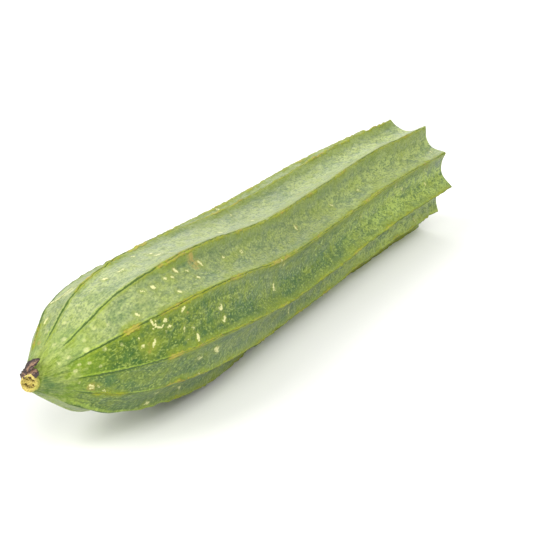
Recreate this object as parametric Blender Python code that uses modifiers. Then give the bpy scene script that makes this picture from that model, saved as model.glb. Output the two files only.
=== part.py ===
"""Ridge gourd, the blossom-end length of the fruit, cut across and lying on two of its ridges.

The fruit lies along X: its blossom end, with the dry remains of the flower, is at -X, and the flat
cut face is at +X. It rests on the plane Z = 0. The origin is the middle of that resting plane.
A place on the skin is given by its station, the distance back from the blossom end along the fruit,
and its bearing, the angle clockwise from straight up as the fruit is seen from its blossom end.
"""

import math

import bmesh
import bpy
import numpy as np

MM = 0.001

# The fruit, in millimetres and degrees. Each pair is a station and the value there: the radius over the
# crests, the share of it that the ridges stand up, how far the axis bows towards -Y from the line that
# sets the piece's two sides equally far from the origin, how high the axis runs, and how far the ridges
# turn about it. The crests of the two lowest ridges reach a little under Z = 0, and are pressed flat there.
LENGTH = 321.0
CREST_RADIUS = ((0, 3.2), (6, 7.0), (15, 12.4), (26, 17.8), (38, 21.1), (51, 23.0), (83, 25.1), (128, 24.8),
                (193, 24.3), (257, 24.2), (LENGTH, 23.5))
RIDGE_SHARE = ((0, 0.02), (20, 0.04), (50, 0.085), (83, 0.13), (128, 0.17), (193, 0.21), (LENGTH, 0.225))
SIDE_BOW = ((0, -0.4), (12, 1.9), (32, 3.3), (64, 4.6), (96, 4.1), (128, 2.2), (193, 0.2), (257, -1.1),
            (LENGTH, 0.0))
AXIS_HEIGHT = ((0, 29.1), (32, 29.5), (64, 28.4), (96, 26.4), (128, 24.5), (160, 23.4), (193, 23.1),
               (257, 22.9), (LENGTH, 22.3))
SIDE_CENTRE = 2.532
RIDGE_TURN = ((0, 5.0), (42, 4.0), (64, 4.5), (96, 3.0), (128, -1.8), (193, -2.0), (257, -0.2),
              (LENGTH, -0.6))

RIDGE_BEARINGS = (27.0, 61.7, 98.6, 130.1, 158.4, 197.1, 236.3, 276.4, 316.1, 348.2)
RIDGE_REACH = (1.007, 0.96, 0.99, 0.96, 1.025, 1.015, 1.0, 0.96, 1.0, 0.972)
SCALLOP_POWER = 2.2
CREST_LAND = 0.03

# Where the fruit is divided into faces: across one scallop as shares of its width, and along the fruit.
ACROSS = (CREST_LAND, 0.12, 0.26, 0.5, 0.74, 0.88, 1.0 - CREST_LAND)
NOSE_STATIONS = (0.0, 1.5, 4.0, 8.0, 13.0, 19.0, 26.0, 34.0, 43.0, 53.0, 64.0, 76.0, 89.0, 103.0)
BODY_RINGS = 18

# The dry flower at the blossom end. The gap keeps each piece clear of its neighbours.
GAP = 0.35
COLLAR_RADIUS = 2.9
COLLAR_DEPTH = 2.4
COLLAR_WALL = 1.0
COLLAR_STEPS = 28
SEPAL_THICKNESS = 0.6

# Each withered sepal: the bearing of its root, its path as station and distance from the axis, its half
# width along the path, how far its edges curl up, and how far it turns round the axis towards its end.
SEPALS = {
    "withered_sepal_long": dict(
        bearing=10.0, path=((-1.9, 3.85), (-0.5, 4.9), (0.9, 6.0), (2.1, 7.2)),
        half_widths=(0.7, 1.0, 1.1, 0.6), curl=0.7, turn=12.0),
    "withered_sepal_folded": dict(
        bearing=50.0, path=((-1.7, 3.75), (-0.8, 4.2), (0.1, 4.9), (0.9, 5.8)),
        half_widths=(0.7, 1.0, 1.0, 0.5), curl=0.5, turn=-4.0),
    "withered_sepal_stub": dict(
        bearing=340.0, path=((-1.8, 3.75), (-1.4, 4.2), (-1.0, 4.7), (-0.8, 5.2)),
        half_widths=(0.6, 0.7, 0.6, 0.3), curl=0.3, turn=-4.0),
}

SKIN_GREEN = (0.21, 0.33, 0.08)
CORK_YELLOW = (0.55, 0.42, 0.15)
WITHERED_BROWN = (0.09, 0.05, 0.03)


def smooth(pairs, at):
    """A curve through the pairs: cubic spans whose slopes are those of their neighbours' chord."""
    knots, values = np.array(pairs, float).T
    slopes = np.gradient(values, knots)
    at = np.clip(np.asarray(at, float), knots[0], knots[-1])
    span = np.clip(np.searchsorted(knots, at, side="right") - 1, 0, len(knots) - 2)
    width = knots[span + 1] - knots[span]
    u = (at - knots[span]) / width
    start = (1 + 2 * u) * (1 - u) ** 2 * values[span] + u * (1 - u) ** 2 * width * slopes[span]
    end = u ** 2 * (3 - 2 * u) * values[span + 1] + u ** 2 * (u - 1) * width * slopes[span + 1]
    return start + end


def section(station):
    """The fruit's outline at one station, as (y, z) points in millimetres.

    A round core carries the ridges. Between two crests the radius falls to the core as a power of the
    distance from the nearer crest, which leaves a hollow scallop between sharp ridges.
    """
    reach = smooth(CREST_RADIUS, station)
    core = reach * (1.0 - smooth(RIDGE_SHARE, station))
    turn = smooth(RIDGE_TURN, station)
    points = []
    count = len(RIDGE_BEARINGS)
    for k in range(count):
        this, following = RIDGE_BEARINGS[k], RIDGE_BEARINGS[(k + 1) % count]
        pitch = (following - this) % 360.0
        for share in ACROSS:
            crest = RIDGE_REACH[k] if share <= 0.5 else RIDGE_REACH[(k + 1) % count]
            off = max(0.0, min(share, 1.0 - share) - CREST_LAND) / (0.5 - CREST_LAND)
            radius = core + (reach * crest - core) * (1.0 - off) ** SCALLOP_POWER
            bearing = math.radians(this + share * pitch - turn)
            y = SIDE_CENTRE - smooth(SIDE_BOW, station) - radius * math.sin(bearing)
            z = smooth(AXIS_HEIGHT, station) + radius * math.cos(bearing)
            points.append((y, max(z, 0.0)))
    return points


def loft(name, rings, collection):
    """A closed body through rings of equal length, given from the first end to the last, in metres."""
    bm = bmesh.new()
    loops = [[bm.verts.new(p) for p in ring] for ring in rings]
    count = len(loops[0])
    for near, far in zip(loops, loops[1:]):
        for i in range(count):
            j = (i + 1) % count
            bm.faces.new((near[i], near[j], far[j], far[i]))
    for loop in (loops[0], loops[-1]):
        middle = bm.verts.new(sum((v.co for v in loop[1:]), loop[0].co.copy()) / count)
        for i in range(count):
            bm.faces.new((loop[i], loop[(i + 1) % count], middle))
    bmesh.ops.recalc_face_normals(bm, faces=bm.faces[:])
    return mesh_object(name, bm, collection)


def mesh_object(name, bm, collection):
    mesh = bpy.data.meshes.new(name)
    bm.to_mesh(mesh)
    bm.free()
    obj = bpy.data.objects.new(name, mesh)
    collection.objects.link(obj)
    return obj


def finish(obj, material, angle):
    """Gives the object its material and smooth shading, with edges sharper than the angle left crisp."""
    obj.data.materials.append(material)
    obj.data.shade_smooth()
    obj.data.set_sharp_from_angle(angle=math.radians(angle))


def principled(name, colour, roughness):
    material = bpy.data.materials.new(name)
    material.use_nodes = True
    shader = material.node_tree.nodes["Principled BSDF"]
    shader.inputs["Base Color"].default_value = (*colour, 1.0)
    shader.inputs["Roughness"].default_value = roughness
    shader.inputs["Metallic"].default_value = 0.0
    material.diffuse_color = (*colour, 1.0)
    return material


def station_x(station):
    """The X place of a station, in metres. The dry collar and the fruit together are centred on X = 0."""
    middle = (LENGTH - GAP - COLLAR_DEPTH) / 2.0
    return (station - middle) * MM


def tip_axis():
    """The middle of the fruit at its blossom end, as (y, z) in millimetres."""
    return SIDE_CENTRE - SIDE_BOW[0][1], AXIS_HEIGHT[0][1]


def build_fruit(collection):
    body = np.linspace(NOSE_STATIONS[-1], LENGTH, BODY_RINGS + 1)[1:]
    stations = np.concatenate([NOSE_STATIONS, body])
    rings = [[(station_x(s), y * MM, z * MM) for y, z in section(s)] for s in stations]
    fruit = loft("fruit", rings, collection)
    finish(fruit, principled("fruit_skin", SKIN_GREEN, 0.45), 40.0)


def build_collar(collection):
    """The corky ring that the flower leaves: a shallow dish with a low boss in the middle, turned round X."""
    outer, inner = COLLAR_RADIUS, COLLAR_RADIUS - COLLAR_WALL
    floor, boss = 0.45 * COLLAR_DEPTH, 0.35 * inner
    profile = ((0.0, 0.75 * COLLAR_DEPTH), (boss, 0.65 * COLLAR_DEPTH), (boss + 0.3, floor),
               (inner - 0.3, floor), (inner, 0.8 * COLLAR_DEPTH), (outer - 0.5, COLLAR_DEPTH),
               (outer - 0.1, 0.8 * COLLAR_DEPTH), (outer, 0.3 * COLLAR_DEPTH), (outer - 0.35, 0.0), (0.0, 0.0))
    mesh = bpy.data.meshes.new("flower_collar")
    mesh.from_pydata([(r * MM, 0.0, h * MM) for r, h in profile],
                     [(i, i + 1) for i in range(len(profile) - 1)], [])
    collar = bpy.data.objects.new("flower_collar", mesh)
    collection.objects.link(collar)
    turned = collar.modifiers.new("turned", "SCREW")
    turned.axis = "Z"
    turned.steps = turned.render_steps = COLLAR_STEPS
    turned.use_merge_vertices = True
    turned.merge_threshold = 0.00001
    y, z = tip_axis()
    collar.location = (station_x(-GAP), y * MM, z * MM)
    collar.rotation_euler = (0.0, -math.pi / 2.0, 0.0)
    finish(collar, principled("dry_collar", CORK_YELLOW, 0.8), 40.0)


def build_sepal(name, sepal, collection):
    """A shrivelled flap: a flat grid carried along a path that leaves the collar and lies over the nose."""
    stations, reaches = np.array(sepal["path"]).T
    steps = np.linspace(0.0, 1.0, len(stations))
    bm = bmesh.new()
    bmesh.ops.create_grid(bm, x_segments=6, y_segments=4, size=0.5)
    axis_y, axis_z = tip_axis()
    for v in bm.verts:
        along, aside = v.co.x + 0.5, 2.0 * v.co.y
        station = smooth(tuple(zip(steps, stations)), along)
        reach = smooth(tuple(zip(steps, reaches)), along) + sepal["curl"] * aside ** 2 * (0.4 + 0.6 * along)
        half_width = smooth(tuple(zip(steps, sepal["half_widths"])), along)
        bearing = math.radians(sepal["bearing"] + sepal["turn"] * along)
        across = aside * half_width
        y = axis_y - reach * math.sin(bearing) - across * math.cos(bearing)
        z = axis_z + reach * math.cos(bearing) - across * math.sin(bearing)
        v.co = (station_x(station), y * MM, z * MM)
    flap = mesh_object(name, bm, collection)
    thick = flap.modifiers.new("thick", "SOLIDIFY")
    thick.thickness = SEPAL_THICKNESS * MM
    thick.offset = 0.0
    soft = flap.modifiers.new("soft", "SUBSURF")
    soft.levels = soft.render_levels = 1
    finish(flap, principled(name + "_skin", WITHERED_BROWN, 0.85), 60.0)


def main():
    for old in list(bpy.data.objects):
        bpy.data.objects.remove(old)
    collection = bpy.data.collections.new("ridge_gourd")
    bpy.context.scene.collection.children.link(collection)
    build_fruit(collection)
    build_collar(collection)
    for name, sepal in SEPALS.items():
        build_sepal(name, sepal, collection)


main()
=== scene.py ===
"""The looks of a ridge gourd: its rind, cut face and dry flower, and the plain studio that it lies in.

A place on the rind is a station, in millimetres from the blossom end along the fruit, and a bearing, in
degrees clockwise from straight up as the fruit is seen from its blossom end. Between two ridges lies a
scallop, named by the ridge that it starts from, and a share runs from 0 to 1 across it, clockwise.
"""

import itertools
import math

import bpy
import numpy as np
from bpy.props import FloatProperty, FloatVectorProperty, PointerProperty
from bpy.types import Operator, Panel, PropertyGroup
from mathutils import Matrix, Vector


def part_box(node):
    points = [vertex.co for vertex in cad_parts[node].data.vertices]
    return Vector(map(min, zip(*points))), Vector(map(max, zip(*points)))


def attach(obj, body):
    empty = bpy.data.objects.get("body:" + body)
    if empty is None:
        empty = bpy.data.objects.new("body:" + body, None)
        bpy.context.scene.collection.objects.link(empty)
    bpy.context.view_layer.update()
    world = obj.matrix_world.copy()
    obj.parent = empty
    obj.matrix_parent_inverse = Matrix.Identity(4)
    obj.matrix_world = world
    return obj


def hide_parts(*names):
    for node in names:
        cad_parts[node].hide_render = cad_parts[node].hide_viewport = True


bl_info = {
    "name": "Ridge Gourd",
    "version": (1, 0, 0),
    "blender": (4, 5, 0),
    "location": "3D View > Sidebar > Gourd",
    "description": "Builds the rind, cut face and dry flower of a ridge gourd around its solid model",
    "category": "Add Mesh",
}

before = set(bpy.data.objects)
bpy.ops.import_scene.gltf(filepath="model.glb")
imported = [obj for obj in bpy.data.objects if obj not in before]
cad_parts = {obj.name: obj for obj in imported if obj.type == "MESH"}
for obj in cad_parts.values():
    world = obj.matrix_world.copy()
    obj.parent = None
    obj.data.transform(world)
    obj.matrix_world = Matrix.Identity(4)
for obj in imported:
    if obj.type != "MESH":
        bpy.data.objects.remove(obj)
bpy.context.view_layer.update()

MM = 0.001

# The form of the fruit, as in its solid model, in millimetres and degrees. Each pair is a station and the
# value there: the radius over the crests, the share of it that the ridges stand up, how far the axis bows
# towards -Y, how high it runs, and how far the ridges turn about it.
LENGTH = 321.0
CREST_RADIUS = ((0, 3.2), (6, 7.0), (15, 12.4), (26, 17.8), (38, 21.1), (51, 23.0), (83, 25.1), (128, 24.8),
                (193, 24.3), (257, 24.2), (LENGTH, 23.5))
RIDGE_SHARE = ((0, 0.02), (20, 0.04), (50, 0.085), (83, 0.13), (128, 0.17), (193, 0.21), (LENGTH, 0.225))
SIDE_BOW = ((0, -0.4), (12, 1.9), (32, 3.3), (64, 4.6), (96, 4.1), (128, 2.2), (193, 0.2), (257, -1.1),
            (LENGTH, 0.0))
AXIS_HEIGHT = ((0, 29.1), (32, 29.5), (64, 28.4), (96, 26.4), (128, 24.5), (160, 23.4), (193, 23.1),
               (257, 22.9), (LENGTH, 22.3))
SIDE_CENTRE = 2.532
RIDGE_TURN = ((0, 5.0), (42, 4.0), (64, 4.5), (96, 3.0), (128, -1.8), (193, -2.0), (257, -0.2),
              (LENGTH, -0.6))
RIDGES = "BCDEFGHIZA"
RIDGE_BEARINGS = np.array((27.0, 61.7, 98.6, 130.1, 158.4, 197.1, 236.3, 276.4, 316.1, 348.2))
RIDGE_REACH = np.array((1.007, 0.96, 0.99, 0.96, 1.025, 1.015, 1.0, 0.96, 1.0, 0.972))
SCALLOP_WIDTHS = (np.roll(RIDGE_BEARINGS, -1) - RIDGE_BEARINGS) % 360.0
SCALLOP_POWER = 2.2
FIN = "F"

# How finely the rind is divided: points across a scallop, crowded towards the crests, and rows along the
# fruit, closer where it is scarred.
POINTS_ACROSS = 26
CROWDING = 0.45
FINE_TO, FINE_STEP, COARSE_ROWS = 130.0, 0.65, 137
CAP_RINGS, CUT_RINGS = 4, 18

# What stands along a crest or is worn from it: how far past the crest its middle lies, clockwise, and half
# how wide it is, in millimetres.
NICK, CRUST = (0.0, 1.5), (0.0, 1.0)
LIP, GROOVE, HOLLOW = (-0.5, 0.4), (0.1, 0.35), (1.9, 1.1)
FIN_HALF = 0.8

# Where the rind is marked. A scar is the scallop, half its width, and its path as shares and stations. A
# patch is the scallop, its share and station, its radius, and how strong it is.
SCARS = (
    ("C", 0.41, ((0.03, 35.6), (0.1, 35.8), (0.16, 36.6), (0.25, 37.8), (0.28, 38.8))),
    ("C", 0.36, ((0.06, 37.2), (0.15, 37))),
    ("C", 0.41, ((0.28, 38.8), (0.25, 39.8), (0.17, 41), (0.12, 41.8))),
    ("C", 0.36, ((0.2, 41), (0.17, 42.4))),
    ("C", 0.36, ((0.42, 40), (0.35, 40.6), (0.31, 42), (0.34, 43.4))),
    ("C", 0.36, ((0.18, 35.2), (0.24, 35.6))), ("C", 0.45, ((0.11, 53), (0.14, 51.6), (0.21, 51))),
    ("C", 0.39, ((0.47, 50.2), (0.57, 49.6))), ("C", 0.51, ((0.6, 54), (0.62, 54.6))),
    ("C", 0.69, ((0.8, 55.6), (0.88, 54.9))), ("C", 0.39, ((0.8, 50.2), (0.81, 50.5))),
    ("C", 0.57, ((0.52, 29.2), (0.53, 29.8))), ("C", 0.39, ((0.28, 28.5), (0.3, 28.8))),
    ("C", 0.63, ((0.5, 34.6), (0.56, 33.8), (0.6, 33.2))),
    ("C", 0.81, ((0.47, 73.6), (0.5, 74.8), (0.44, 75.2))), ("C", 0.51, ((0.7, 75.6), (0.77, 73.4))),
    ("B", 0.75, ((0.72, 32.2), (0.74, 32.6))), ("B", 0.87, ((0.32, 46.3), (0.33, 47))),
    ("B", 0.39, ((0.26, 40.6), (0.3, 41.6))), ("B", 0.39, ((0.31, 50), (0.33, 50.5))),
    ("B", 0.63, ((0.28, 54.8), (0.29, 55.4))), ("B", 0.45, ((0.31, 58.3), (0.33, 58.9))),
    ("B", 0.75, ((0.22, 62.6), (0.26, 63.4))), ("B", 0.63, ((0.35, 68.8), (0.37, 69.5))),
    ("B", 0.63, ((0.6, 71.2), (0.62, 71.8))), ("B", 0.51, ((0.26, 78.8), (0.33, 80), (0.41, 79.8))),
    ("B", 0.63, ((0.71, 55.3), (0.73, 56))), ("B", 0.63, ((0.39, 96), (0.41, 97.6))),
    ("B", 0.51, ((0.4, 110.8), (0.41, 112.6))), ("B", 0.39, ((0.44, 106.2), (0.45, 106.9))),
    ("A", 0.75, ((0.35, 39.6), (0.37, 40.2))), ("A", 0.51, ((0.44, 46.6), (0.45, 48.4), (0.43, 50.4))),
    ("A", 0.51, ((0.54, 68.4), (0.56, 71), (0.57, 73.8))), ("A", 0.39, ((0.36, 68.2), (0.4, 70.6))),
    ("A", 0.51, ((0.72, 73.4), (0.73, 74))), ("A", 0.39, ((0.52, 54), (0.53, 54.5))),
    ("A", 0.45, ((0.2, 62.6), (0.22, 63.6))), ("Z", 0.75, ((0.08, 31), (0.3, 33), (0.55, 36.5))),
    ("Z", 0.51, ((0.28, 19), (0.3, 21))), ("D", 0.45, ((0.47, 58.4), (0.48, 61.6))),
    ("D", 0.63, ((0.4, 69.8), (0.46, 71.6), (0.42, 72.6))), ("D", 0.51, ((0.52, 71.4), (0.56, 74))),
    ("D", 0.39, ((0.95, 62), (0.96, 62.8))), ("D", 0.33, ((0.5, 12), (0.56, 12.9))),
    ("D", 0.29, ((0.64, 12.6), (0.7, 13.6))), ("D", 0.33, ((0.8, 16.6), (0.86, 17.6))),
    ("D", 0.29, ((0.56, 14.4), (0.62, 14.9))), ("E", 0.57, ((0.8, 41.8), (0.82, 44))),
    ("E", 0.51, ((0.66, 61), (0.7, 62.2))),
)
YELLOW_PATCHES = (
    ("C", 0.45, 34, 4.5, 1), ("C", 0.7, 31, 3.5, 0.7), ("C", 0.5, 29, 2, 0.8), ("C", 0.8, 52, 3.5, 0.7),
    ("C", 0.15, 53, 2, 0.8), ("B", 0.62, 38, 4.5, 0.7), ("B", 0.3, 43, 3, 0.5), ("B", 0.28, 60, 5, 0.5),
    ("B", 0.62, 70, 3, 0.4), ("B", 0.2, 83, 5, 0.4), ("A", 0.3, 60, 7, 0.6), ("A", 0.6, 71, 5, 0.5),
    ("Z", 0.4, 12, 3, 0.9), ("D", 0.45, 67, 4, 0.5), ("D", 0.62, 13, 2, 0.7),
)
RUST_PATCHES = (
    ("B", 0.22, 76, 3.2, 0.9), ("B", 0.28, 79, 2, 0.7), ("B", 0.22, 62.6, 1.1, 0.8),
    ("C", 0.58, 32.6, 1.5, 0.8), ("C", 0.72, 31.2, 1, 0.5), ("C", 0.24, 54, 1, 0.5),
    ("A", 0.62, 72, 1.6, 0.5), ("D", 0.62, 13.2, 1.7, 1), ("D", 0.42, 71, 1.4, 0.6),
    ("Z", 0.45, 11, 1.3, 0.6),
)
PALE_SPOTS = (
    ("B", 0.84, 12.8, 1.1, 1), ("B", 0.72, 8.2, 0.9, 0.9), ("B", 0.68, 5.2, 0.8, 0.8),
    ("A", 0.78, 11, 1.1, 1), ("A", 0.32, 16.5, 1.1, 0.9), ("A", 0.55, 9, 0.9, 0.8),
    ("C", 0.12, 17.2, 1.1, 0.8), ("C", 0.56, 8.2, 0.8, 0.9), ("C", 0.4, 12, 0.8, 0.8),
    ("B", 0.3, 18.5, 1.1, 0.8), ("B", 0.5, 22, 0.8, 0.9), ("Z", 0.7, 14, 1.1, 1),
    ("B", 0.45, 14, 0.9, 0.7), ("C", 0.3, 9.5, 0.7, 0.8), ("C", 0.66, 14.6, 0.8, 0.7),
    ("A", 0.5, 22, 0.9, 0.8), ("Z", 0.6, 34, 3.4, 1), ("A", 0.3, 24, 0.8, 0.7),
    ("C", 0.24, 22.5, 0.9, 0.7), ("D", 0.28, 9, 0.7, 0.8),
)
DARK_PATCHES = (
    ("C", 0.6, 1.2, 1.4, 0.8), ("D", 0.4, 2, 1.8, 1), ("D", 0.35, 18, 2.6, 1), ("D", 0.6, 25, 3, 0.6),
    ("C", 0.1, 41, 3, 0.8), ("B", 0.1, 52, 3.5, 0.6), ("C", 0.55, 66, 4.5, 0.7), ("B", 0.12, 70, 4, 0.7),
)
# Stretches of ridge with a thick corky crust: the ridge, its two ends as stations, and how thick.
CRUSTY_CRESTS = (
    ("C", 24, 31, 1), ("C", 40, 66, 0.75), ("B", 54, 63, 0.9), ("B", 88, 104, 0.5), ("D", 39, 47, 1),
    ("D", 47, 72, 0.7), ("E", 14, 26, 0.6), ("E", 44, 57, 1), ("A", 30, 64, 0.7), ("A", 66, 80, 1),
    ("Z", 10, 20, 0.8),
)

# How pale each scallop is, partly waxy bloom and partly painted sheen on the upper ones; how cool and dark
# its green, partly painted shade on the lower ones; and how olive the ridge that it starts from.
BLOOM_AND_SHEEN = {"B": 0.5, "C": 0, "D": 0.15, "E": 0.15, "F": 0.4, "G": 0.6, "H": 0.3, "I": 0.3, "Z": 0.9, "A": 0.7}
COOL_AND_SHADE = {"B": 0.25, "C": 0, "D": 0.9, "E": 1, "F": 0.7, "G": 0.4, "H": 0.2, "I": 0.4, "Z": 0.5, "A": 0.1}
OLIVE = {"Z": 0.8, "A": 1, "B": 0.8, "C": 1}
# How many millimetres the yellow green of the nose reaches along each scallop.
NOSE_REACH = {"B": 25, "C": 25, "D": 17, "E": 15, "F": 14, "G": 17, "H": 20, "I": 21, "Z": 22, "A": 23}

COLLAR_RADIUS, COLLAR_WALL = 2.9, 1.0
SCATTERED_MARKS = 64
# Each withered sepal: the bearing of its root, its path as station and distance from the axis, its half
# width along the path, how far its edges curl up, and how far it turns round the axis towards its end.
SEPALS = {
    "long": dict(
        bearing=-20, path=((-2, 2.7), (-1.2, 3.9), (0, 5.1), (1.5, 6.2)),
        half_widths=(1.1, 1.35, 1.4, 0.5), curl=0.8, turn=34),
    "folded": dict(
        bearing=8, path=((-2.2, 2.2), (-1.7, 3), (-0.8, 3.6), (0.2, 3.9)),
        half_widths=(1.5, 2, 1.8, 1), curl=-0.3, turn=14),
    "stub": dict(
        bearing=325, path=((-2.4, 2.2), (-2, 3), (-1.3, 3.6), (-0.6, 4)),
        half_widths=(1.1, 1.4, 1.2, 0.6), curl=-0.2, turn=-4),
}

FRUIT_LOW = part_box("fruit")[0]
COLLAR_LOW, COLLAR_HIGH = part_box("flower_collar")
TIP_Y, TIP_Z = (COLLAR_LOW.y + COLLAR_HIGH.y) / 2, (COLLAR_LOW.z + COLLAR_HIGH.z) / 2

# The studio, in metres and radians: each soft light has its name, which end it is at, and its place.
FLOOR_HALF, SOFTBOX_WIDTH, SENSOR_WIDTH = 1.5, 1.6, 36.0
SOFTBOXES = (("front_left", "front", (-1.30, 0.90, 1.20)), ("front_right", "front", (-1.20, -1.00, 1.20)),
             ("back_left", "back", (1.50, 0.75, 0.90)), ("back_right", "back", (1.20, -0.90, 1.20)))
CAMERA_AIM, CAMERA_DISTANCE = Vector((-0.0044, -0.0058, 0.0249)), 0.762
CAMERA_AZIMUTH, CAMERA_PITCH = math.radians(22.21), math.radians(15.23)


def linear(colour):
    """An sRGB hex colour as linear red, green and blue."""
    parts = np.array([int(colour[i:i + 2], 16) / 255 for i in (1, 3, 5)])
    return tuple(np.where(parts <= 0.04045, parts / 12.92, ((parts + 0.055) / 1.055) ** 2.4))


def hue(name, description, colour):
    """A colour that a user can change."""
    return FloatVectorProperty(name=name, description=description, default=linear(colour), subtype="COLOR",
                               min=0.0, max=1.0)


def number(name, description, value, unit="NONE", precision=2):
    """A number from 0 up that a user can change."""
    return FloatProperty(name=name, description=description, default=value, min=0.0, unit=unit,
                         precision=precision)


def length(name, description, millimetres):
    """A length that a user can change, kept in metres."""
    return number(name, description, millimetres * MM, "LENGTH", 5)


class GourdShape(PropertyGroup):
    wander: FloatProperty(name="Ridge wander", description="How far a ridge strays from its line",
                          default=math.radians(0.8), subtype="ANGLE")
    nicks: length("Nick depth", "How deep the crests are nicked and worn", 1.1)
    lip: length("Crest lip", "How far the fine lip on a young crest stands up, and its groove sinks", 0.24)
    fin: length("Fin", "How far the lowest ridge stands out as a fin near the blossom end", 0.9)
    hollow: length("Ridge hollow", "How deep the hollow beside each ridge is below an even scallop", 0.3)
    swell: length("Swell", "How far the scallops swell and sink along the fruit", 0.42)
    scar_rise: length("Scar rise", "How far a healed scar stands up from the rind", 0.16)


class GourdRind(PropertyGroup):
    green: hue("Green", "The rind's main colour", "#566c20")
    # Partly painted shade: this darker cool green is laid most on the lower scallops.
    cool: hue("Cool green", "Bluish green of the shaded scallops", "#2f5a30")
    # The deep green also carries the painted shade just past each crest.
    deep: hue("Deep green", "Cool, darker green in the hollows and mottling", "#2f5020")
    warm: hue("Yellow green", "Warm green of the ripest patches", "#768428")
    speck: hue("Specks", "The fine pale dots all over the rind", "#a8b85e")
    # Partly painted sheen: this pale grey is laid heaviest on the upper scallops and near the nose.
    bloom: hue("Bloom", "Greyish wax over the upper scallops", "#a9b27c")
    pale: hue("Pale spots", "Larger pale spots around the nose", "#c6c68a")
    # The crest line is painted shadow just below a young crest, and the crest edge a painted highlight on
    # it.
    line: hue("Crest line", "The dark line along a young crest", "#385414")
    ripe: hue("Ripe green", "The lighter green of the older end", "#9cb052")
    edge: hue("Crest edge", "The pale edge beside that line", "#9ab03c")
    olive: hue("Olive edge", "The olive edge below that line", "#7c8c1a")
    crust: hue("Crust", "Olive cork on the older crests", "#8c921e")
    tan: hue("Tan crust", "Dry tan cork where the crest is chafed", "#a88c46")
    nose: hue("Nose", "Bright yellow green around the blossom end", "#66801a")
    scar: hue("Scars", "Pale cream cork of healed scratches", "#cfcd90")
    rust: hue("Rust", "Brown blotches", "#a08a44")


class GourdFlesh(PropertyGroup):
    skin: hue("Rind edge", "The cut edge of the rind", "#466812")
    green: hue("Outer flesh", "Green flesh under the rind", "#76a01c")
    lime: hue("Lime flesh", "The paler green further in", "#b0c63c")
    cream: hue("Cream ring", "The yellowish ring around the pith", "#e3dfae")
    pith: hue("Pith", "The moist greenish white middle", "#e0e6d2")
    seed: hue("Seed marks", "Faint marks of the soft seeds", "#c2d0a4")


class DryFlower(PropertyGroup):
    cork: hue("Cork", "The light rim of the flower's scar", "#b9a85a")
    hollow: hue("Hollow", "The brown hollow inside the rim", "#54401c")
    olive: hue("Olive", "The green flush at the foot of the rim", "#909630")
    withered: hue("Withered", "The dark outside of a dead sepal", "#2a1a16")
    inside: hue("Sepal fold", "The paler folds of a dead sepal", "#8c6c52")


class Studio(PropertyGroup):
    sky: number("Sky", "Brightness of the white surroundings", 0.12)
    front: number("Front lights", "Power of each soft light before the blossom end", 46.0, "POWER")
    back: number("Back lights", "Power of each soft light behind the cut end", 17.0, "POWER")
    lens: number("Lens", "Focal length of the camera", 148.6 * MM, "CAMERA", 4)
    floor: hue("Floor", "The plain pale floor", "#ecece9")


def smooth(pairs, at):
    """A curve through the pairs: cubic spans whose slopes are those of their neighbours' chord."""
    knots, values = np.array(pairs, float).T
    slopes = np.gradient(values, knots)
    at = np.clip(np.asarray(at, float), knots[0], knots[-1])
    span = np.clip(np.searchsorted(knots, at, side="right") - 1, 0, len(knots) - 2)
    width = knots[span + 1] - knots[span]
    u = (at - knots[span]) / width
    start = (1 + 2 * u) * (1 - u) ** 2 * values[span] + u * (1 - u) ** 2 * width * slopes[span]
    end = u ** 2 * (3 - 2 * u) * values[span + 1] + u ** 2 * (u - 1) * width * slopes[span + 1]
    return start + end


def ramp(value, start, end):
    """0 at start, 1 at end, and an S-shaped cubic between them."""
    share = np.clip((value - start) / (end - start), 0.0, 1.0)
    return share * share * (3 - 2 * share)


def bell(value, middle, half):
    """1 in the middle, falling off as the exponential of minus the squared distance in halves."""
    return np.exp(-((value - middle) / half) ** 2)


def noise(points, size, seed):
    """Smooth noise from -1 to 1: random numbers at the corners of a cubic lattice of that size, blended
    inside each cube by S-shaped cubics."""
    cell = np.floor(points / size)
    part = points / size - cell
    part = part * part * (3 - 2 * part)
    cell = cell.astype(np.int64)
    total = np.zeros(points.shape[:-1])
    for corner in itertools.product((0, 1), repeat=3):
        key = ((cell + corner) * (73856093, 19349663, 83492791)).sum(-1) + seed * 15485863
        for factor in (0x5BD1E995, 0x1B873593):
            key = (key & 0xFFFFFFFF) * factor
            key ^= key >> 15
        value = (key & 0xFFFF) / 32767.5 - 1.0
        total += value * np.prod(np.where(corner, part, 1 - part), -1)
    return total


def ridge_noise(station, size, seed):
    """Noise along each of the ridges on its own, as rows of stations and columns of ridges."""
    rows, ridges = np.meshgrid(station, np.arange(len(RIDGES)) * 100.0 * size, indexing="ij")
    return noise(np.stack([rows, ridges + 0.5 * size, np.full_like(rows, 0.5 * size)], -1), size, seed)


def station_x(station):
    """The X place of a station, in metres."""
    return FRUIT_LOW.x + np.asarray(station) * MM


# What is laid out over the fruit's mesh for its materials, and the rind's values over the cap and over the
# cut face where they aren't 0. FAR is how many millimetres from a crest or a scar is out of its reach.
RIND_FIELDS = ("crest_mm", "side_mm", "scar_mm", "crest_line", "olive_line", "shade", "cool", "crust",
               "nose", "yellow", "rust", "pale", "dark", "bloom", "ripe")
FLESH_FIELDS = ("depth_mm", "core_mm")
FAR = 6.0
BEYOND_RIND = {"crest_mm": (FAR, 0.0), "scar_mm": (FAR, FAR), "nose": (1.0, 0.0)}


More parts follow.
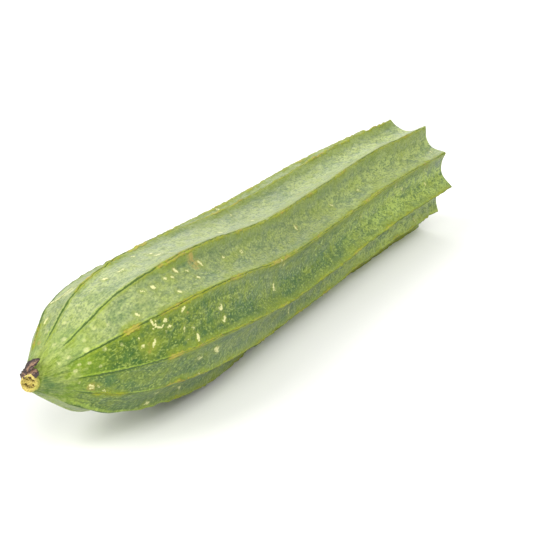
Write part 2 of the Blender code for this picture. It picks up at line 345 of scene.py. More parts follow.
class Rind:
    """The rind's points as rows along the fruit and columns around it, with what lies where on it."""

    def __init__(self, shape):
        fine = np.arange(0.0, FINE_TO, FINE_STEP)
        self.station = np.concatenate([fine, np.linspace(FINE_TO, LENGTH, COARSE_ROWS)])[:, None]
        even = np.arange(POINTS_ACROSS) / POINTS_ACROSS
        crowded = even - CROWDING * np.sin(2 * np.pi * even) / (2 * np.pi)
        self.share = np.tile(crowded, len(RIDGES))
        self.ridge = np.repeat(np.arange(len(RIDGES)), POINTS_ACROSS)
        self.bearing = RIDGE_BEARINGS[self.ridge] + self.share * SCALLOP_WIDTHS[self.ridge]
        self.reach = smooth(CREST_RADIUS, self.station)
        width = np.radians(SCALLOP_WIDTHS[self.ridge]) * self.reach
        self.crest_mm = np.minimum(self.share, 1 - self.share) * width
        self.side_mm = width * np.sin(2 * np.pi * self.share) / (2 * np.pi)
        self.mark()
        self.tint()
        self.place(shape)

    def between(self, values):
        """Values at the ridges, blended across the scallops."""
        following = np.roll(values, -1, axis=1)
        return values[:, self.ridge] * (1 - self.share) + following[:, self.ridge] * self.share

    def nearest(self, values):
        """Values at the ridges, each carried to the middle of the scallops beside it."""
        return values[:, np.where(self.share <= 0.5, self.ridge, (self.ridge + 1) % len(RIDGES))]

    def tone(self, of_scallops):
        """One value a scallop, blended over the crests between them."""
        values = np.array([of_scallops[ridge] for ridge in RIDGES])
        before, after = np.roll(values, 1)[self.ridge], np.roll(values, -1)[self.ridge]
        own = values[self.ridge]
        start = 0.5 + 0.5 * ramp(self.share, 0.0, 0.08)
        end = 0.5 + 0.5 * ramp(self.share, 1.0, 0.92)
        return own * (start + end - 1) + before * (1 - start) + after * (1 - end)

    def distance(self, scallop, path):
        """Millimetres along the rind from each point to a path of shares and stations on a scallop."""
        ridge = RIDGES.index(scallop)
        shares, stations = np.array(path, float).T
        bearings = RIDGE_BEARINGS[ridge] + shares * SCALLOP_WIDTHS[ridge]
        turned = (self.bearing - bearings[0] + 180.0) % 360.0 - 180.0
        across = np.radians(turned) * self.reach
        along = np.broadcast_to(self.station, across.shape)
        steps = np.radians(bearings - bearings[0]) * smooth(CREST_RADIUS, stations.mean())
        nearest = np.full(across.shape, np.inf)
        ends = list(zip(steps, stations))
        for (a, s), (b, t) in zip(ends, ends[1:] or ends):
            da, ds = b - a, t - s
            part = ((across - a) * da + (along - s) * ds) / max(da * da + ds * ds, 1e-9)
            part = np.clip(part, 0.0, 1.0)
            nearest = np.minimum(nearest, np.hypot(across - a - part * da, along - s - part * ds))
        return nearest

    def patches(self, listed):
        """How much of each point lies in the listed round patches, from 0 to 1."""
        total = np.zeros(self.crest_mm.shape)
        for scallop, share, station, radius, strength in listed:
            away = self.distance(scallop, ((share, station),))
            total = np.maximum(total, strength * ramp(away, 1.5 * radius, 0.3 * radius))
        return total

    def mark(self):
        """Scars and blotches: those listed, and ones scattered over the rest of the fruit."""
        rng = np.random.default_rng(20)
        scars, yellow, rust = list(SCARS), list(YELLOW_PATCHES), list(RUST_PATCHES)
        for _ in range(SCATTERED_MARKS):
            scallop = RIDGES[rng.integers(len(RIDGES))]
            listed_to = 118.0 if scallop in "ZABCD" else 15.0
            station = rng.uniform(listed_to, 316.0)
            share, width = rng.uniform(0.12, 0.88), rng.uniform(0.3, 0.6)
            path = [(share, station)]
            for _ in range(rng.integers(1, 5)):
                path.append((path[-1][0] + rng.uniform(-0.09, 0.09), path[-1][1] + rng.uniform(-1.2, 1.2)))
            scars.append((scallop, width, tuple(path)))
            if rng.random() < 0.4:
                yellow.append((scallop, share, station, rng.uniform(2.0, 6.0), rng.uniform(0.3, 0.8)))
            if rng.random() < 0.15:
                rust.append((scallop, share, station + 2.0, rng.uniform(0.8, 2.0), rng.uniform(0.4, 0.9)))
        self.scar_mm = np.full(self.crest_mm.shape, FAR)
        for scallop, half_width, path in scars:
            self.scar_mm = np.minimum(self.scar_mm, self.distance(scallop, path) - half_width)
        self.yellow, self.rust = self.patches(yellow), self.patches(rust)
        self.pale, self.dark = self.patches(PALE_SPOTS), self.patches(DARK_PATCHES)

    def tint(self):
        """Crusts along the crests, a painted shadow line and a painted highlight on the young crests,
        painted shade just past each crest, and how the rind's colour shifts over the fruit, partly as
        painted sheen and shade on whole scallops.
        """
        station = self.station
        crust = (0.45 + 0.40 * ramp(ridge_noise(station, 9.0, 5), -0.3, 0.6)) * ramp(station, 22.0, 60.0)
        for ridge, start, end, amount in CRUSTY_CRESTS:
            inside = ramp(station, start - 3, start + 2) * ramp(station, end + 3, end - 2)
            column = [RIDGES.index(ridge)]
            crust[:, column] = np.maximum(crust[:, column], amount * inside)
        self.crust = self.nearest(crust)
        # Painted shadow and highlight along the young crests: a dark line just past the crest and a pale
        # edge on it.
        line = ramp(station, 6.0, 15.0) * (0.65 + 0.35 * ramp(station, 130.0, 70.0)) * (1 - 0.85 * crust)
        by_crest = ramp(self.crest_mm, 3.0, 1.6)
        self.crest_line = self.nearest(line) * by_crest
        self.olive_line = self.nearest(line * [OLIVE.get(ridge, 0.3) for ridge in RIDGES]) * by_crest
        # Painted shade: the rind just past each crest is darkened, as if shaded by the ridge above it.
        past_crest = ramp(self.side_mm, 0.2, 1.2) * ramp(self.crest_mm, 5.5, 1.5)
        self.shade = past_crest * ramp(station, 25.0, 70.0)
        self.nose = ramp(station, self.tone(NOSE_REACH), 4.0)
        # Paleness per scallop, stronger towards the nose: partly waxy bloom, partly painted sheen.
        self.bloom = self.tone(BLOOM_AND_SHEEN) * ramp(station, 1.0, 11.0) * (1 + 0.45 * ramp(station, 65.0, 30.0))
        # Cool, darker green per scallop: partly its own colour, partly painted shade on the lower scallops.
        self.cool = self.tone(COOL_AND_SHADE)
        self.ripe = ramp(station, 130.0, 290.0)

    def place(self, shape):
        """The points themselves, in metres.

        The radius is that of the core plus a ridge that falls off as a power of the distance from its
        crest. A fine lip follows the young crests with a groove beside it, the older crests are nicked
        and crusted, a hollow runs beside each ridge, and the scallops swell and sink by smooth noise.
        """
        station = self.station
        away = np.minimum(self.share, 1 - self.share) / 0.5
        rounding = 0.05
        away = (np.hypot(away, rounding) - rounding) / (math.hypot(1.0, rounding) - rounding)
        core = self.reach * (1 - smooth(RIDGE_SHARE, station))
        crest = self.reach * self.nearest(np.broadcast_to(RIDGE_REACH, (len(station), len(RIDGES))))
        radius = core + (crest - core) * (1 - away) ** SCALLOP_POWER

        fade = ramp(station, 8.0, 60.0)
        wander = ridge_noise(station, 31.0, 1) + 0.4 * ridge_noise(station, 9.0, 2)
        wander += 0.3 * ridge_noise(station, 4.0, 12)
        bearing = self.bearing - smooth(RIDGE_TURN, station)
        bearing += self.between(wander * (0.15 + 0.85 * fade)) * math.degrees(shape.wander)
        flat = np.stack(np.broadcast_arrays(station, radius * np.cos(np.radians(self.bearing)),
                                            radius * np.sin(np.radians(self.bearing))), -1)

        nick = ramp(ridge_noise(station, 6.5, 3), 0.25, 0.9)
        nick += 0.5 * ramp(ridge_noise(station, 17.0, 4), 0.1, 0.9)
        young = ramp(station, 7.0, 20.0) * ramp(station, 140.0, 60.0)
        radius -= self.nearest(nick * fade) * shape.nicks / MM * bell(self.crest_mm, *NICK)
        near = young * shape.lip / MM * np.exp(-(self.crest_mm / 3.0) ** 4)
        radius += near * bell(self.side_mm, *LIP)
        radius -= near * bell(self.side_mm, *GROOVE)
        fin = ramp(station, 4.0, 10.0) * ramp(station, 34.0, 20.0)
        on_fin = (self.ridge + (self.share > 0.5)) % len(RIDGES) == RIDGES.index(FIN)
        radius += fin * on_fin * shape.fin / MM * bell(self.crest_mm, 0.0, FIN_HALF)
        hollow = bell(self.side_mm, *HOLLOW) * ramp(self.crest_mm, 5.0, 2.5)
        radius -= shape.hollow / MM * hollow * ramp(station, 12.0, 45.0)
        crumbs = 0.1 + 0.42 * noise(flat, 2.3, 6) + 0.2 * noise(flat, 1.0, 7)
        radius += self.crust * crumbs * bell(self.crest_mm, *CRUST)

        open_rind = np.sin(np.pi * self.share) ** 0.5 * np.clip(self.reach / 14.0, 0.15, 1.0)
        lumps = noise(flat * (0.6, 1, 1), 15.0, 8) + 0.35 * noise(flat * (0.7, 1, 1), 6.0, 9)
        lumps += 0.12 * noise(flat, 2.4, 10)
        radius += open_rind * lumps * shape.swell / MM
        radius += ramp(self.scar_mm, 0.45, -0.25) * shape.scar_rise / MM
        radius += 0.12 * self.pale

        turn = np.radians(bearing)
        y = SIDE_CENTRE - smooth(SIDE_BOW, station) - radius * np.sin(turn)
        z = np.maximum(smooth(AXIS_HEIGHT, station) + radius * np.cos(turn), 0.0)
        x = np.broadcast_to(station_x(station), y.shape)
        self.points = np.stack([x, y * MM, z * MM], -1)


def in_scene(name, data):
    """A new object in the scene."""
    thing = bpy.data.objects.new(name, data)
    bpy.context.scene.collection.objects.link(thing)
    return thing


def aimed(thing, place, towards):
    """Puts a light or the camera at a place, facing a direction."""
    thing.location = place
    thing.rotation_mode = "QUATERNION"
    thing.rotation_quaternion = towards.to_track_quat("-Z", "Y")


def ringed_mesh(name, rings, fields=None, maps=None):
    """A closed mesh of rings, with a pole in the middle of its first ring and of its last.

    A ring's points go clockwise as seen looking from the first ring towards the last, which turns the
    faces outwards. fields are values at the points, and maps are lists of grids of map places that follow
    each other along the rings.
    """
    count, around = rings.shape[:2]
    points = np.concatenate([rings.reshape(-1, 3), rings[:1].mean(1), rings[-1:].mean(1)])
    index = np.arange(count * around).reshape(count, around)
    following = np.roll(index, -1, axis=1)
    quads = np.stack([index[:-1], following[:-1], following[1:], index[1:]], -1).reshape(-1, 4)
    poles = np.full((2, around), [[count * around], [count * around + 1]])
    start = np.stack([poles[0], following[0], index[0]], -1)
    end = np.stack([index[-1], following[-1], poles[1]], -1)
    mesh = bpy.data.meshes.new(name)
    mesh.from_pydata(points, [], [*quads.tolist(), *start.tolist(), *end.tolist()])
    for field, values in (fields or {}).items():
        whole = np.concatenate([values.ravel(), [values[0].mean(), values[-1].mean()]])
        mesh.attributes.new(field, "FLOAT", "POINT").data.foreach_set("value", whole.astype(np.float32))
    for title, grids in (maps or {}).items():
        cells = [np.stack([g[:-1, :-1], g[:-1, 1:], g[1:, 1:], g[1:, :-1]], 2) for g in grids]
        first, last = grids[0][0], grids[-1][-1]
        near, far = (np.broadcast_to(ring[:-1].mean(0), (around, 2)) for ring in (first, last))
        fans = [np.stack([near, first[1:], first[:-1]], 1), np.stack([last[:-1], last[1:], far], 1)]
        corners = np.concatenate([part.reshape(-1, 2) for part in (*cells, *fans)])
        mesh.uv_layers.new(name=title).data.foreach_set("uv", corners.astype(np.float32).ravel())
    mesh.shade_smooth()
    return in_scene(name, mesh)


def feed(tree, node, inputs):
    """Gives each input of a node its value, or links it to the output of another node."""
    for key, value in inputs.items():
        if isinstance(value, bpy.types.NodeSocket):
            tree.links.new(value, node.inputs[key])
        else:
            node.inputs[key].default_value = value


def add(tree, kind, inputs=None, output=0, **settings):
    """Adds a shader node with its inputs and its own settings, and gives back one of its outputs."""
    node = tree.nodes.new("ShaderNode" + kind)
    for key, value in settings.items():
        setattr(node, key, value)
    feed(tree, node, inputs or {})
    return node.outputs[output]


def new_material(name):
    """An empty material with its shader, and the place on the object in millimetres."""
    material = bpy.data.materials.new(name)
    material.use_nodes = True
    tree = material.node_tree
    place = add(tree, "Mapping", {0: add(tree, "TexCoord", output="Object"),
                                  "Scale": (1 / MM, 1 / MM, 1 / MM)})
    return material, tree, tree.nodes["Principled BSDF"], place


def read(tree, fields, noises):
    """Values by name: those laid out over the mesh, and noises, each its place, size in mm and detail."""
    value = {name: add(tree, "Attribute", None, "Fac", attribute_name=name) for name in fields}
    for name, place, size, detail in noises:
        value[name] = add(tree, "TexNoise", {"Vector": place, "Scale": 1 / size, "Detail": detail})
    return value


def summed(tree, value, sums):
    """Adds values by name: each what it starts from, and the values that it adds with their factors."""
    for name, start, *parts in sums:
        total = value.get(start, start)
        for part, factor in parts:
            total = add(tree, "Math", {0: value[part], 1: factor, 2: total}, operation="MULTIPLY_ADD")
        value[name] = total


def reckoned(tree, value, name, *steps):
    """Takes a value through steps: each a maths operation and its other inputs, as numbers or names."""
    for operation, *others in steps:
        inputs = {place: value.get(other, other) for place, other in enumerate((name, *others))}
        value[name] = add(tree, "Math", inputs, operation=operation)


def opaque(colour):
    return (*colour, 1.0)


def painted(tree, value, look, ground, coats):
    """The look's ground colour with coats over it: each the name of a value, where the coat starts and is
    full, how strong it gets, and its own colour."""
    colour = opaque(getattr(look, ground))
    for name, start, end, strength, coat in coats:
        inputs = {"Value": value[name], "From Min": start, "From Max": end, "To Max": strength}
        share = add(tree, "MapRange", inputs, interpolation_type="SMOOTHSTEP")
        inputs = {0: share, 6: colour, 7: opaque(getattr(look, coat))}
        colour = add(tree, "Mix", inputs, 2, data_type="RGBA")
    return colour


def raised(tree, value, *heights):
    """A bump of the summed heights: each a value and the millimetres that it rises from 0 to 1."""
    summed(tree, value, (("height", 0.0, *heights),))
    return add(tree, "Bump", {"Height": value["height"], "Distance": MM, "Strength": 1.0})


def rind_material(rind):
    """Waxy gourd rind, grown: a satin green skin with pale stipple, corky crests and healed cream scars.

    The stipple of such a rind is about 0.3 mm, and is drawn at 0.6 mm so that it shows.
    """
    material, tree, shader, place = new_material("waxy_gourd_rind")
    drawn_out = add(tree, "Mapping", {0: place, "Scale": (0.3, 1.0, 1.0)})
    grain = add(tree, "Mapping", {0: place, "Scale": (0.5, 1.0, 1.0)})
    streaked = add(tree, "Mapping", {0: add(tree, "UVMap", uv_map="rind"), "Scale": (0.1, 0.16, 1.0)})
    value = read(tree, RIND_FIELDS, (
        ("broad", drawn_out, 11.0, 3), ("mottle", grain, 3.0, 4), ("stipple", grain, 0.6, 3),
        ("crumbs", grain, 1.4, 3), ("streaks", streaked, 1.0, 3), ("ragged", grain, 0.5, 3),
        ("lumpy", grain, 2.4, 2), ("tint", drawn_out, 4.5, 4),
    ))
    value["specks"] = add(tree, "TexVoronoi", {"Vector": grain, "Scale": 1 / 1.5})

    # Distances roughened by the noises, the cork on a crest and the halo around it, and then spots and
    # noises that are held to their own places below.
    summed(tree, value, (
        ("crest", "crest_mm", ("ragged", 1.5), ("crumbs", 1.6), ("lumpy", 0.9), ("crust", -0.7)),
        ("side", "side_mm", ("ragged", 0.5), ("lumpy", 0.7)),
        ("scar", "scar_mm", ("ragged", -1.8), ("crumbs", -1.2)),
        ("cork", 5.4, ("crest", -2.2)), ("halo", 2.4, ("crest", -0.55)),
        ("broken cork", 0.45, ("lumpy", 1.1)), ("mottled nose", 0.6, ("mottle", 0.8)),
        ("pale spots", 0.3, ("crumbs", 1.2)), ("dark spots", 0.3, ("mottle", 1.2)),
        ("rusty", -1.2, ("crumbs", 4.0)), ("crumbled cork", "crumbs"), ("ragged cork", "ragged"),
        ("crumbled nose", "crumbs"), ("lumpy nose", "lumpy"), ("streaked nose", "streaks"),
    ))
    for name in ("cork", "halo"):
        reckoned(tree, value, name, ("MAXIMUM", 0.0), ("MINIMUM", 1.0), ("MULTIPLY", "crust"))
    summed(tree, value, (("rough", 0.22, ("mottle", 0.4), ("cork", 0.25)),))
    for where, names in (("cork", ("broken cork", "crumbled cork", "ragged cork")),
                         ("nose", ("mottled nose", "crumbled nose", "lumpy nose", "streaked nose")),
                         ("pale", ("pale spots",)), ("dark", ("dark spots",)), ("rust", ("rusty",))):
        for name in names:
            reckoned(tree, value, name, ("MULTIPLY", where))
    # Lines beside the crests: how far past the crest, half how wide, where along it, and the noise in it.
    # The dark line is painted shadow just under the crest, the pale edge a painted highlight on the crest,
    # and the olive band the crest's own colour.
    for name, past, half_width, where, broken_by in (
            ("line", 0.55, 0.3, "crest_line", "mottle"), ("edge", -0.02, 0.3, "crest_line", "crumbs"),
            ("olive", 1.15, 0.5, "olive_line", "crumbs")):
        value[name] = value["side"]
        reckoned(tree, value, name, ("SUBTRACT", past), ("ABSOLUTE",),
                 ("MULTIPLY_ADD", -1 / half_width, 1.0), ("MULTIPLY", where), ("MULTIPLY", broken_by))

    # Among these coats, the bloom coats are partly painted sheen, the cool coat partly painted shade, the
    # deep coat past the crests painted shade, the edge coat a painted highlight and the line coat a painted
    # shadow.
    base = painted(tree, value, rind, "green", (
        ("cool", 0, 1, 0.35, "cool"), ("ripe", 0, 1, 0.95, "ripe"), ("broad", 0.48, 0.6, 0.34, "warm"),
        ("broad", 0.5, 0.38, 0.3, "deep"), ("bloom", 0, 1, 0.52, "bloom"),
        ("mottle", 0.5, 0.4, 0.45, "deep"), ("mottle", 0.54, 0.64, 0.4, "warm"),
        ("crumbs", 0.48, 0.38, 0.55, "deep"), ("crumbs", 0.55, 0.64, 0.18, "speck"),
        ("stipple", 0.48, 0.38, 0.6, "deep"), ("stipple", 0.56, 0.66, 0.38, "speck"),
        ("specks", 0.2, 0.06, 0.3, "speck"), ("yellow", 0, 1, 0.55, "warm"),
        ("mottled nose", 0.05, 0.85, 0.9, "nose"), ("crumbled nose", 0.42, 0.62, 0.32, "speck"),
        ("lumpy nose", 0.36, 0.52, 0.2, "pale"), ("streaked nose", 0.42, 0.6, 0.45, "deep"),
        ("pale spots", 0.3, 0.95, 0.8, "pale"), ("bloom", 0, 1, 0.34, "bloom"),
        ("tint", 0.52, 0.64, 0.34, "olive"), ("tint", 0.48, 0.36, 0.3, "cool"),
        ("dark spots", 0.3, 0.9, 0.55, "cool"), ("stipple", 0.52, 0.66, 0.16, "speck"),
        ("stipple", 0.48, 0.36, 0.2, "deep"), ("shade", 0, 1, 0.3, "deep"),
        ("olive", 0, 0.3, 0.5, "olive"), ("halo", 0.05, 0.6, 0.5, "olive"),
        ("edge", 0.05, 0.3, 0.38, "edge"), ("broken cork", 0.15, 0.6, 0.8, "crust"),
        ("crumbled cork", 0.33, 0.46, 0.7, "tan"), ("ragged cork", 0.28, 0.4, 0.25, "edge"),
        ("line", 0, 0.2, 0.9, "line"), ("rusty", 0.15, 0.8, 0.7, "rust"),
        ("scar", 0, -1.2, 0.45, "warm"), ("scar", -1.42, -1.8, 0.9, "scar"),
    ))
    bump = raised(tree, value, ("mottle", 0.5), ("crumbs", 0.34), ("stipple", 0.18),
                  ("crumbled cork", 0.8), ("streaked nose", 0.9))
    feed(tree, shader, {"Base Color": base, "Roughness": value["rough"], "IOR": 1.45,
                        "Specular IOR Level": 0.28, "Normal": bump})
    return material


def flesh_material(flesh):
    """Fresh gourd flesh, knife cut: green under the rind, then lime, a cream ring and moist white pith."""
    material, tree, shader, place = new_material("cut_gourd_flesh")
    drawn_up = add(tree, "Mapping", {0: place, "Scale": (1.0, 1.0, 0.5)})
    scored = add(tree, "Mapping", {0: place, "Rotation": (math.radians(24), 0, 0),
                                   "Scale": (1.0, 0.06, 1.6)})
    value = read(tree, FLESH_FIELDS, (("cloudy", place, 3.2, 3), ("fibres", place, 0.9, 3),
                                      ("scores", scored, 1.0, 2)))
    value["seeds"] = add(tree, "TexVoronoi", {"Vector": drawn_up, "Scale": 1 / 3.6, "Randomness": 0.9})
    summed(tree, value, (("depth", "depth_mm", ("cloudy", 2.2)), ("core", "core_mm", ("cloudy", -3.0)),
                         ("marks", -2.5, ("core_mm", 0.28)), ("wet", 0.22, ("cloudy", 0.2))))
    reckoned(tree, value, "marks", ("MAXIMUM", 0.0), ("ADD", "seeds"))
    base = painted(tree, value, flesh, "skin", (
        ("depth", 1.2, 2.2, 1, "green"), ("depth", 2, 5.2, 1, "lime"),
        ("core", 14.4, 12.8, 1, "cream"), ("core", 13.2, 11.6, 1, "pith"),
        ("marks", 0.42, 0.16, 0.45, "seed"), ("fibres", 0.56, 0.74, 0.25, "seed"),
    ))
    bump = raised(tree, value, ("scores", 0.10), ("fibres", 0.10), ("cloudy", 0.15))
    feed(tree, shader, {"Base Color": base, "Roughness": value["wet"], "IOR": 1.38, "Normal": bump,
                        "Subsurface Weight": 0.25, "Subsurface Radius": (1.0, 1.0, 0.6),
                        "Subsurface Scale": 2.0 * MM})
    return material


def cork_material(flower):
    """Dry cork, grown over the flower's scar: a light crumbly rim around a brown hollow."""
    material, tree, shader, place = new_material("flower_scar_cork")
    value = read(tree, ("hollow", "foot"), (("crumbs", place, 0.9, 4), ("cracks", place, 0.35, 4)))
    base = painted(tree, value, flower, "cork", (
        ("crumbs", 0.52, 0.7, 0.45, "olive"), ("foot", 0.2, 1, 0.8, "olive"),
        ("hollow", 0.35, 0.9, 0.8, "hollow"), ("crumbs", 0.42, 0.3, 0.75, "hollow"),
        ("cracks", 0.42, 0.32, 0.6, "hollow"),
    ))
    bump = raised(tree, value, ("crumbs", 0.35), ("cracks", 0.15))
    feed(tree, shader, {"Base Color": base, "Roughness": 0.8, "Normal": bump})
    return material


def withered_material(flower):
    """Dead sepal, dried on the fruit: papery, purple brown, with paler folds and a dull gloss."""
    material, tree, shader, place = new_material("withered_sepal")
    value = read(tree, ("fold",), (("veins", place, 0.5, 4), ("blotches", place, 1.3, 4)))
    base = painted(tree, value, flower, "withered", (
        ("fold", 0.5, 1, 0.8, "inside"), ("blotches", 0.54, 0.68, 0.5, "inside"),
        ("veins", 0.5, 0.38, 0.85, "withered"),
    ))
    bump = raised(tree, value, ("veins", 0.25))
    feed(tree, shader, {"Base Color": base, "Roughness": 0.6, "Normal": bump})
    return material


def cut_rings(rim):
    """The cut face's rings, from just inside the rim towards the middle.

    Each ring is the rim shrunk towards the middle, and rounded into a circle over the outer third. The
    flesh stands a little proud of the rind in places and sinks in others.
    """
    middle = rim.mean(0)
    away = rim - middle
    radius = np.linalg.norm(away, axis=1)
    shrink = (np.arange(1, CUT_RINGS + 1) / (CUT_RINGS + 1))[:, None] ** 1.35
    rounded = ramp(shrink, 0.0, 0.4)
    size = (1 - shrink) * ((1 - rounded) * radius + rounded * np.median(radius))
    rings = middle + size[..., None] * away / radius[:, None]
    swell = 0.22 * noise(rings / MM, 7.0, 31) + 0.06 * noise(rings / MM, 2.2, 32)
    swell -= 0.15 * ramp(shrink, 0.2, 0.6)
    rings[..., 0] += swell * ramp(shrink, 0.0, 0.08) * MM
    return rings


def build_fruit(shape, rind_look, flesh_look):
    """The whole fruit: a round cap at the blossom end, the rind, and the flat cut face."""
    rind = Rind(shape)
    rows, around = rind.points.shape[:2]
    mouth = rind.points[0]
    shares = (np.arange(1, CAP_RINGS + 1) / (CAP_RINGS + 1))[:, None, None]
    cap = mouth.mean(0) + shares * (mouth - mouth.mean(0))
    cut = cut_rings(rind.points[-1])
    rings = np.concatenate([cap, rind.points, cut])
    rim = rind.points[-1, :, 1:] / MM
    inside = cut[..., 1:] / MM
    depth = np.linalg.norm(inside[:, :, None] - rim, axis=-1).min(-1)
    core = np.linalg.norm(inside - rim.mean(0), axis=-1)

    def spread(values, caps=0.0, cuts=0.0):
        """Values on the rind, with others over the cap and over the cut face."""
        parts = ((caps, CAP_RINGS), (values, rows), (cuts, CUT_RINGS))
        return np.concatenate([np.broadcast_to(part, (count, around)) for part, count in parts])

    fields = {name: spread(getattr(rind, name), *BEYOND_RIND.get(name, ())) for name in RIND_FIELDS}
    fields.update(depth_mm=spread(0.0, cuts=depth), core_mm=spread(30.0, cuts=core))
    turns = np.concatenate([rind.bearing - rind.bearing[0], [360.0]])
    station_map = np.broadcast_to(rind.station, (rows, around + 1))
    along = 0.01 + 0.98 * station_map / LENGTH
    up = np.broadcast_to(0.2 + 0.79 * np.arange(around + 1) / around, along.shape)

    def disc(part, middle, scale):
        """A flat map of rings that face along X, around a middle."""
        closed = np.concatenate([part, part[:, :1]], axis=1)[..., 1:] / MM
        return np.array(middle) + (closed - closed[0].mean(0)) * scale

    whole_cut = np.concatenate([rind.points[-1:], cut])
    whole_cap = np.concatenate([cap, rind.points[:1]])
    maps = {
        "OFBake": [disc(whole_cap, (0.25, 0.09), 0.003), np.stack([along, up], -1),
                   disc(whole_cut, (0.1, 0.095), 0.0033)],
        "rind": [disc(whole_cap, (0.0, 0.0), 1.0),
                 np.stack([station_map, np.broadcast_to(turns, station_map.shape)], -1),
                 disc(whole_cut, (0.0, 0.0), 1.0)],
    }
    fruit = ringed_mesh("gourd_fruit", rings, fields, maps)
    fruit.data.materials.append(rind_material(rind_look))
    fruit.data.materials.append(flesh_material(flesh_look))
    slots = np.zeros(len(fruit.data.polygons), np.int32)
    slots[(CAP_RINGS + rows - 1) * around:(len(rings) - 1) * around] = 1
    slots[-around:] = 1
    fruit.data.polygons.foreach_set("material_index", slots)
    fruit.data.set_sharp_from_angle(angle=math.radians(60))
    return fruit


def build_collar(flower):
    """The corky ring where the flower sat: a turned dish with a low boss, worn and half choked by noise.

    The noise is read on a cylinder of the collar's own size. It pulls the rim in and out, breaks its
    edge down unevenly, and pushes the boss off the middle.
    """
    inner = COLLAR_RADIUS - COLLAR_WALL
    outline = np.array((
        (0, 0.2, 1.75), (0.1, 0.6, 1.6), (0.2, 0.95, 0.8), (0.3, inner - 0.35, 0.7),
        (0.42, inner + 0.05, 1.8), (0.52, inner + 0.4, 2.35), (0.62, COLLAR_RADIUS - 0.25, 2.1),
        (0.74, COLLAR_RADIUS, 1.3), (0.88, COLLAR_RADIUS - 0.15, 0.4), (1, COLLAR_RADIUS - 0.6, -0.35)))
    along = np.linspace(0.0, 1.0, 72)[:, None]
    turn = np.linspace(0.0, 2 * np.pi, 144, endpoint=False)
    radius = smooth(outline[:, :2], along)
    height = smooth(outline[:, ::2], along)
    circle = np.stack(np.broadcast_arrays(3 * np.cos(turn), 3 * np.sin(turn), 5.0 * along), -1)
    worn = noise(circle, 2.1, 11) + 0.6 * noise(circle, 0.9, 12) + 0.3 * noise(circle, 0.45, 14)
    choked = ramp(noise(circle, 1.7, 15) + 0.4 * noise(circle, 0.6, 16), -0.1, 0.5)
    dish = ramp(along, 0.05, 0.16) * ramp(along, 0.46, 0.36)
    held = ramp(along, 1.0, 0.8)
    rim = bell(along, 0.55, 0.18)
    radius = radius * (1 + 0.13 * worn * np.clip(radius / 2, 0, 1) * held)
    height = height * (1 - rim * (0.16 + 0.38 * worn)) + 0.75 * dish * choked
    height += 0.22 * noise(circle, 0.6, 13) * held
    x = station_x(-height - 0.35 * ramp(along, 1.0, 0.9))
    off_middle = 0.35 * ramp(along, 0.25, 0.0)
    rings = np.stack([np.broadcast_to(x, radius.shape), TIP_Y - (radius * np.sin(turn) + off_middle) * MM,
                      TIP_Z + (radius * np.cos(turn) - off_middle) * MM], -1)
    hollow = bell(along, 0.27, 0.1) * (1 - 0.8 * choked) + 0.30 * worn * rim
    foot = ramp(along, 0.62, 0.95) + 0.3 * worn * rim + 0.75 * np.sin(turn - 0.6) * ramp(along, 0.3, 0.5)
    collar = ringed_mesh("corky_flower_scar", rings, {"hollow": hollow, "foot": foot})
    collar.data.materials.append(cork_material(flower))
    return collar


def build_sepal(name, sepal, material):
    """A shrivelled sepal: a flat oval section carried along its path, curled at its edges and wrinkled."""
    stations, reaches = np.array(sepal["path"]).T
    steps = np.linspace(0.0, 1.0, len(stations))
    along = np.linspace(0.0, 1.0, 48)[:, None]
    turn = np.linspace(0.0, 2 * np.pi, 44, endpoint=False)
    aside = np.broadcast_to(np.sin(turn), (len(along), len(turn)))
    end = np.sqrt(np.clip(1 - (2 * along - 1) ** 8, 0.02, 1))
    sheet = np.stack(np.broadcast_arrays(along * 6, aside * 2, 0 * aside + sepal["bearing"]), -1)
    ragged = 1 + 0.22 * noise(sheet, 1.1, 21)
    across = aside * smooth(tuple(zip(steps, sepal["half_widths"])), along) * end * ragged
    wrinkle = 0.42 * noise(sheet * (1, 2, 1), 1.3, 22) + 0.14 * noise(sheet * (1, 2, 1), 0.5, 23)
    thickness = 0.22 * np.cos(turn) * end
    reach = smooth(tuple(zip(steps, reaches)), along) + thickness + wrinkle
    reach += sepal["curl"] * aside ** 2 * (0.4 + 0.6 * along)
    bearing = np.radians(sepal["bearing"] + sepal["turn"] * along)
    station = smooth(tuple(zip(steps, stations)), along) + 0.15 * wrinkle
    y = TIP_Y - (reach * np.sin(bearing) + across * np.cos(bearing)) * MM
    z = TIP_Z + (reach * np.cos(bearing) - across * np.sin(bearing)) * MM
    rings = np.stack(np.broadcast_arrays(station_x(station), y, z), -1)
    fold = ramp(np.cos(turn), -0.2, 0.8) * (1 - np.abs(aside)) * (0.5 + 1.2 * ramp(wrinkle, 0.2, -0.2))
    piece = ringed_mesh(name, rings, {"fold": fold})
    piece.data.materials.append(material)
    return piece


def stand_for(piece, node):
    """The piece takes the place of a solid and moves with it."""
    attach(piece, "root")
    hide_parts(node)


class GOURD_OT_fruit(Operator):
    """Builds the ridged fruit with its rind and cut face"""
    bl_idname = "gourd.fruit"
    bl_label = "Build Fruit"

    def execute(self, context):
        scene = context.scene
        fruit = build_fruit(scene.gourd_shape, scene.gourd_rind, scene.gourd_flesh)
        stand_for(fruit, "fruit")
        return {"FINISHED"}


class GOURD_OT_collar(Operator):
    """Builds the corky ring that the flower left at the blossom end"""
    bl_idname = "gourd.collar"
    bl_label = "Build Flower Scar"

    def execute(self, context):
        stand_for(build_collar(context.scene.gourd_flower), "flower_collar")
        return {"FINISHED"}


class GOURD_OT_sepals(Operator):
    """Builds the withered sepals that cling to the blossom end"""
    bl_idname = "gourd.sepals"
    bl_label = "Build Sepals"

    def execute(self, context):
        material = withered_material(context.scene.gourd_flower)
        for name, sepal in SEPALS.items():
            piece = build_sepal("dry_sepal_" + name, sepal, material)
            stand_for(piece, "withered_sepal_" + name)
        return {"FINISHED"}


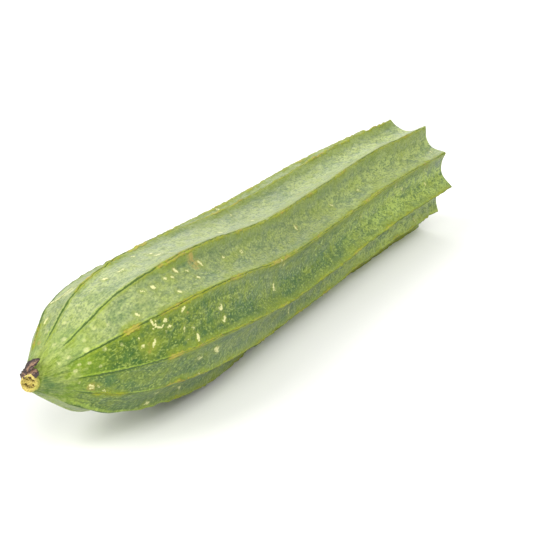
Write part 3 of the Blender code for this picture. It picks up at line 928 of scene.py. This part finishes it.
class GOURD_OT_studio(Operator):
    """Sets the pale floor, the soft light and the camera"""
    bl_idname = "gourd.studio"
    bl_label = "Build Studio"

    def execute(self, context):
        studio, scene = context.scene.gourd_studio, context.scene
        build_floor(studio)
        build_lights(studio, scene)
        build_camera(studio, scene)
        return {"FINISHED"}


def build_floor(studio):
    """A plain matt floor, far wider than the view."""
    mesh = bpy.data.meshes.new("floor")
    corners = [(x * FLOOR_HALF, y * FLOOR_HALF, 0) for x, y in ((-1, -1), (1, -1), (1, 1), (-1, 1))]
    mesh.from_pydata(corners, [], [(0, 1, 2, 3)])
    floor = in_scene("floor", mesh)
    material = bpy.data.materials.new("matt_white_board")
    material.use_nodes = True
    feed(material.node_tree, material.node_tree.nodes["Principled BSDF"],
         {"Base Color": opaque(studio.floor), "Roughness": 0.9, "Specular IOR Level": 0.2})
    mesh.materials.append(material)


def build_lights(studio, scene):
    """White surroundings that light the fruit faintly, and four soft lights, stronger in front."""
    world = bpy.data.worlds.new("white_surroundings")
    world.use_nodes = True
    tree = world.node_tree
    seen = add(tree, "LightPath", output="Is Camera Ray")
    strength = add(tree, "MapRange", {"Value": seen, "To Min": studio.sky})
    feed(tree, tree.nodes["Background"], {"Color": (1.0, 1.0, 1.0, 1.0), "Strength": strength})
    scene.world = world
    for name, end, place in SOFTBOXES:
        light = bpy.data.lights.new("softbox_" + name, "AREA")
        light.size = SOFTBOX_WIDTH
        light.energy = getattr(studio, end)
        softbox = in_scene("softbox_" + name, light)
        aimed(softbox, place, -Vector(place))
        softbox.visible_camera = False


def build_camera(studio, scene):
    """The camera looks down on the blossom end, along the fruit and a little across it."""
    camera = bpy.data.cameras.new("camera")
    camera.sensor_width = SENSOR_WIDTH
    camera.lens = studio.lens / MM
    camera.clip_start, camera.clip_end = 0.01, 20.0
    ahead = Vector((math.cos(CAMERA_AZIMUTH) * math.cos(CAMERA_PITCH),
                    math.sin(CAMERA_AZIMUTH) * math.cos(CAMERA_PITCH), -math.sin(CAMERA_PITCH)))
    scene.camera = in_scene("camera", camera)
    aimed(scene.camera, CAMERA_AIM - CAMERA_DISTANCE * ahead, ahead)
    scene.view_settings.view_transform = "Standard"


class GOURD_PT_sidebar(Panel):
    """The gourd's sizes, colours and build steps"""
    bl_label = "Ridge Gourd"
    bl_space_type = "VIEW_3D"
    bl_region_type = "UI"
    bl_category = "Gourd"

    def draw(self, context):
        for step, groups in STEPS:
            box = self.layout.box()
            for group in groups:
                settings = getattr(context.scene, group)
                for name in settings.__annotations__:
                    box.prop(settings, name)
            box.operator(step)


STEPS = (("gourd.fruit", ("gourd_shape", "gourd_rind", "gourd_flesh")), ("gourd.collar", ("gourd_flower",)),
         ("gourd.sepals", ()), ("gourd.studio", ("gourd_studio",)))
GROUPS = {"gourd_shape": GourdShape, "gourd_rind": GourdRind, "gourd_flesh": GourdFlesh,
          "gourd_flower": DryFlower, "gourd_studio": Studio}
CLASSES = (*GROUPS.values(), GOURD_OT_fruit, GOURD_OT_collar, GOURD_OT_sepals, GOURD_OT_studio,
           GOURD_PT_sidebar)


def register():
    for item in CLASSES:
        bpy.utils.register_class(item)
    for name, group in GROUPS.items():
        setattr(bpy.types.Scene, name, PointerProperty(type=group))


def unregister():
    for name in GROUPS:
        delattr(bpy.types.Scene, name)
    for item in reversed(CLASSES):
        bpy.utils.unregister_class(item)


def main():
    register()
    bpy.ops.gourd.fruit()
    bpy.ops.gourd.collar()
    bpy.ops.gourd.sepals()
    bpy.ops.gourd.studio()


if __name__ == "__main__":
    main()
